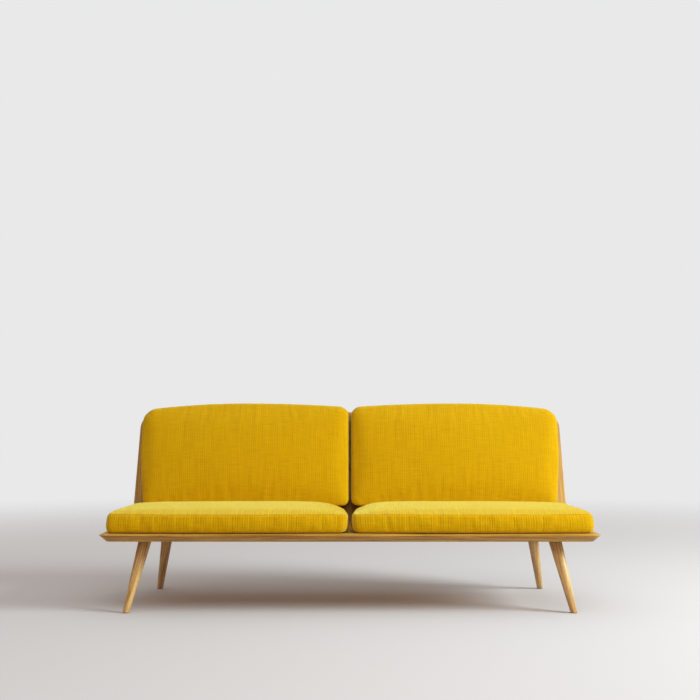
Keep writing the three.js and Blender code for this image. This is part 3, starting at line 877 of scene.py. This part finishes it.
def seat_cushion(side):
    """A seat cushion's cover, before it is filled."""
    low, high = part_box(f"seat_cushion_{side}")
    centre = (low + high) / 2
    half_x = (high.x - low.x) / 2
    half_y = (high.y - low.y) / 2
    outer = SIDES[side]
    seam_height = SEAT_PROFILE[SEAT_TOP][0]
    seed = Vector((SIDES[side] * 7.3, 1.7, 4.1))

    def place(x, y, ring):
        height, inset = SEAT_PROFILE[ring]
        plan_x, plan_y = rounded_plan(x, y, half_x, half_y, SEAT_CORNER)
        back = max(0, (plan_y / half_y + 1) / 2)  # 0 at the front, 1 at the rear
        press = smooth_step((centre.y + y - PRESSED_FROM) / (PRESSED_TO - PRESSED_FROM))
        to_outer = half_x - x * outer
        to_inner = half_x + x * outer
        to_front = half_y + y
        to_rear = half_y - y
        inner_dip = SEAT_INNER_DIP * exp(-to_inner / SEAT_INNER_DIP_REACH)
        outer_dip = SEAT_OUTER_DIP * exp(-to_outer / SEAT_OUTER_DIP_REACH)
        dip = back * (inner_dip + outer_dip) + SEAT_PRESSED_DIP * press
        z = low.z + GAP + height * (1 - dip / seam_height)
        if ring == SEAT_TOP:
            from_front = 1 - (1 - min(to_front / SEAT_CROWN_DEPTH, 1)) ** 2
            crown = SEAT_CROWN * from_front * risen(to_outer, SEAT_CROWN_REACH)
            roll = SEAT_ROLL * risen(to_front, SEAT_FRONT_REACH) * risen(to_outer, SEAT_OUTER_REACH)
            z += (crown + roll) * risen(to_inner, SEAT_INNER_REACH) * risen(to_rear, SEAT_REAR_REACH)
            z += SEAT_UNEVEN * uneven((x, y, 0), SEAT_WAVES, seed)
            z += press * min(0, SEAT_PRESSED - z)
        draw_in = SEAT_TUCK * exp(-height / SEAT_TUCK_HEIGHT)
        end_inset = inset * (SEAT_END_INSET if ring > SEAT_WIDEST else 1)
        bow_share = SEAT_LOW_BOW + (1 - SEAT_LOW_BOW) * height / seam_height
        bow = SEAT_BOW * (x / half_x) ** 2 * (1 - back) * bow_share
        if SEAT_LOWER_SEAM <= ring < SEAT_TOP:
            draw_in += SEAT_RIPPLE * uneven((x, y, height), SEAT_RIPPLE_WAVES, seed)
            bow += SEAT_RIPPLE * uneven((x, y, height), SEAT_RIPPLE_WAVES, -seed)
        if x * outer < 0:
            part_low = SEAT_PART_LOW * (1 - height / seam_height)
            draw_in += part_low + SEAT_PART_REAR * back ** SEAT_PART_CURVE
        return (
            centre.x + plan_x * (half_x - end_inset - draw_in) / half_x,
            centre.y + plan_y * (half_y - inset) / half_y + bow,
            z,
        )

    def held(x, y, ring):
        return ring < SEAT_LOWER_SEAM or (ring == SEAT_TOP and centre.y + y > PRESSED_TO - CELL)

    return make_cover(f"cushion_seat_{side}", half_x, half_y, SEAT_PROFILE, SEAT_SEAMS, place, held)


# Back cushions: a front panel, a band and a rear panel that lies against the wooden one.
BACK_OUTER_CORNER = 0.058
BACK_INNER_CORNER = 0.042
BACK_BOTTOM_CORNER = 0.026
BACK_TOP_FALL = 0.010  # how much lower the top of the rear panel is than the crown
BACK_PROFILE = [
    # (distance from the rear face, inset) of each ring, from the rear panel to the front seam
    (0.0000, 0.0200),
    (0.0040, 0.0110),
    (0.0110, 0.0065),
    (0.0200, 0.0040),
    (0.0310, 0.0026),
    (0.0430, 0.0020),
    (0.0550, 0.0020),
    (0.0670, 0.0024),
    (0.0780, 0.0032),
    (0.0880, 0.0046),
    (0.0970, 0.0066),
    (0.1045, 0.0095),
]
BACK_REAR_SEAM, BACK_TOP = 2, 11  # rings
BACK_SEAMS = {BACK_REAR_SEAM: 0.0012, BACK_TOP: 0.0022}  # each groove's depth
BACK_LEAST_INSET = 0.0020  # in the profile
BACK_CLEARANCE = 0.0015  # from the wooden panel
BACK_ROLL = 0.0085  # of the front's rolled edges beyond their seam
BACK_ROLL_REACH = 0.012
BACK_CROWN = 0.014  # of the front beyond its rolled edges, in the middle
BACK_UNEVEN = 0.0008  # of the front,
BACK_WAVES = (7, 7, 7)  # in so many waves to the metre
BACK_PUCKER = 0.0022  # of the front, in so many waves, close to the seams above and below
BACK_PUCKER_WAVES = (42, 9, 9)
BACK_PUCKER_REACH = 0.030
BACK_TAPER = 0.19  # how much shorter the cushion gets for each metre away from its rear
BACK_FOOT_INSET = 0.1  # the foot's share of the sides' inset
BACK_OUTER_DROOP = 0.031  # how much lower the outer and the inner top corner are than the middle
BACK_INNER_DROOP = 0.017
BACK_FOOT_TUCK = 0.024  # how far the outer side draws in at the foot,
BACK_TUCK_HEIGHT = 0.55  # up to this share of the height,
BACK_TUCK_CURVE = 1.2  # on this curve
BACK_INNER_INSET = 0.8  # the inner side's share of the inset past the least one


def back_cushion(side):
    """A back cushion's cover, before it is filled, standing on its seat and leaning on the panel."""
    low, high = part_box(f"back_cushion_{side}")
    panel_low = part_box("back_panel")[0]
    half_x = (high.x - low.x) / 2
    centre_x = (low.x + high.x) / 2
    foot_y = panel_low.y + (low.z - panel_low.z) * tan(RECLINE) - BACK_CLEARANCE / cos(RECLINE)
    rear_foot = Vector((centre_x, foot_y, low.z))
    outward = Vector((0, -cos(RECLINE), sin(RECLINE)))
    rear_length = (high.z - low.z - BACK_TOP_FALL) / cos(RECLINE)
    half_y = rear_length / 2
    outer = SIDES[side]
    seed = Vector((SIDES[side] * 5.9, 8.2, 2.6))
    pucker_seed = seed + 3 * Z_AXIS

    def place(x, y, ring):
        distance, inset = BACK_PROFILE[ring]
        outward_half = x * outer > 0
        top_corner = BACK_OUTER_CORNER if outward_half else BACK_INNER_CORNER
        corner = top_corner if y > 0 else BACK_BOTTOM_CORNER
        plan_x, plan_y = rounded_plan(x, y, half_x, half_y, corner)
        if ring == BACK_TOP:
            side_rise = risen(half_x - abs(x), BACK_ROLL_REACH)
            end_rise = risen(half_y - abs(y), BACK_ROLL_REACH)
            distance += BACK_ROLL * (side_rise * end_rise)
            distance += BACK_CROWN * (1 - (x / half_x) ** 2) * (1 - (y / half_y) ** 2)
            distance += BACK_UNEVEN * uneven((x, y, 0), BACK_WAVES, seed)
            pucker = BACK_PUCKER * exp(-(half_y - abs(y)) / BACK_PUCKER_REACH)
            distance += pucker * uneven((x, y, 0), BACK_PUCKER_WAVES, pucker_seed)
        up = (plan_y / half_y + 1) / 2  # 0 at the bottom, 1 at the top
        bottom = -distance * tan(RECLINE) + BACK_FOOT_INSET * inset
        length = rear_length - distance * BACK_TAPER - inset
        rise = bottom + (length - bottom) * up
        rise -= (BACK_OUTER_DROOP if outward_half else BACK_INNER_DROOP) * (x / half_x) ** 2 * up ** 2
        if outward_half:
            side_inset = inset + BACK_FOOT_TUCK * max(0, 1 - up / BACK_TUCK_HEIGHT) ** BACK_TUCK_CURVE
        else:
            side_inset = BACK_INNER_INSET * (inset - BACK_LEAST_INSET)
        across = plan_x * (half_x - side_inset) / half_x
        return rear_foot + X_AXIS * across + UP_PANEL * rise + outward * distance

    def held(x, y, ring):
        return y < CELL / 4 - half_y

    return make_cover(f"cushion_back_{side}", half_x, half_y, BACK_PROFILE, BACK_SEAMS, place, held)


SEAT_FILL_CAP = 0.003  # the most that filling moves a point of a cover
BACK_FILL_CAP = 0.007

seats = [seat_cushion(side) for side in SIDES]
backs = [back_cushion(side) for side in SIDES]
caps = {seat: SEAT_FILL_CAP for seat in seats}
caps.update({back: BACK_FILL_CAP for back in backs})
fill(seats + backs, caps)
for kind, cushions, seams, weave in (
    ("seat", seats, SEAT_SEAMS, SEAT_WEAVE), ("back", backs, BACK_SEAMS, BACK_WEAVE),
):
    for side, cushion in zip(SIDES, cushions):
        sew(cushion, seams)
        cushion.vertex_groups.clear()
        finish(cushion, "mustard_weave", f"{kind}_cushion_{side}", smooth=pi, material=weave)


# ---- Floor, light and camera ----

def studio_floor():
    """A pale painted floor that fades into the background far from the sofa."""
    material, tree = new_material("painted studio floor")
    place = add_node(tree, "TexCoord", {}).outputs["Object"]
    distance = add_node(tree, "VectorMath", {0: place}, operation="LENGTH")
    fade = add_node(tree, "MapRange", {
        "Value": distance.outputs["Value"], "From Min": 1.8, "From Max": 7.0,
    }, interpolation_type="SMOOTHSTEP")
    paint = add_node(tree, "BsdfPrincipled", {"Base Color": linear("#C3BBC9"), "Roughness": 0.85})
    clear = add_node(tree, "BsdfTransparent", {})
    surface = add_node(tree, "MixShader", {0: fade, 1: paint, 2: clear})
    add_node(tree, "OutputMaterial", {"Surface": surface})
    floor = start_piece(
        "studio_floor", bpy.ops.mesh.primitive_circle_add, vertices=64, radius=10, fill_type="NGON",
    )
    floor.data.materials.append(material)


def soft_light(name, place, aim, size, power, colour):
    """A round soft lamp that shines towards a point."""
    data = bpy.data.lights.new(name, "AREA")
    data.shape = "DISK"
    data.size = size
    data.energy = power
    data.color = linear(colour)[:3]
    light = bpy.data.objects.new(name, data)
    bpy.context.collection.objects.link(light)
    light.location = place
    light.rotation_euler = (Vector(aim) - Vector(place)).to_track_quat("-Z", "Y").to_euler()


def studio_background():
    """A pale even backdrop. The light it gives the sofa is bright and cool from overhead, and dim
    and warm from the sides."""
    world = bpy.data.worlds.new("studio background")
    world.use_nodes = True
    tree = world.node_tree
    tree.nodes.clear()
    seen = add_node(tree, "LightPath", {}).outputs["Is Camera Ray"]
    direction = add_node(tree, "TexCoord", {}).outputs["Generated"]
    height = add_node(tree, "SeparateXYZ", {"Vector": direction}).outputs["Z"]
    overhead = add_node(tree, "MapRange", {
        "Value": height, "From Min": 0.0, "From Max": 1.0, "To Min": 0.16, "To Max": 1.15,
    })
    warmth = add_node(tree, "Mix", {
        "Factor": height, "A": linear("#FFD29C"), "B": linear("#F0FFF4"),
    }, data_type="RGBA")
    lighting = add_node(tree, "Background", {"Color": warmth, "Strength": overhead})
    backdrop = add_node(tree, "Background", {"Color": linear("#E9E9EA"), "Strength": 1.0})
    surface = add_node(tree, "MixShader", {0: seen, 1: lighting, 2: backdrop})
    add_node(tree, "OutputWorld", {"Surface": surface})
    bpy.context.scene.world = world


PICTURE_SIZE = 700  # in pixels, as the two below
FOCAL_LENGTH = 1110
HORIZON_ROW = 425
SENSOR_WIDTH = 36  # in millimetres
CAMERA_PLACE = (0, -4.59, 0.7139)


def camera():
    """Level, facing the sofa's middle from 4.2 m in front of its seat, with the horizon kept low."""
    data = bpy.data.cameras.new("camera")
    data.sensor_width = SENSOR_WIDTH
    data.lens = SENSOR_WIDTH * FOCAL_LENGTH / PICTURE_SIZE
    data.shift_y = (HORIZON_ROW - PICTURE_SIZE / 2) / PICTURE_SIZE
    eye = bpy.data.objects.new("camera", data)
    bpy.context.collection.objects.link(eye)
    eye.location = CAMERA_PLACE
    eye.rotation_euler = (pi / 2, 0, 0)
    bpy.context.scene.camera = eye


studio_floor()
studio_background()
soft_light("key", place=(5.4, -1.8, 3.3), aim=(0, 0, 0.4), size=2.8, power=510, colour="#ECFFF2")
soft_light("fill", place=(0.6, -4.5, 2.6), aim=(0, 0, 0.4), size=2.6, power=24, colour="#FFE6C4")
camera()
bpy.context.scene.view_settings.view_transform = "Standard"
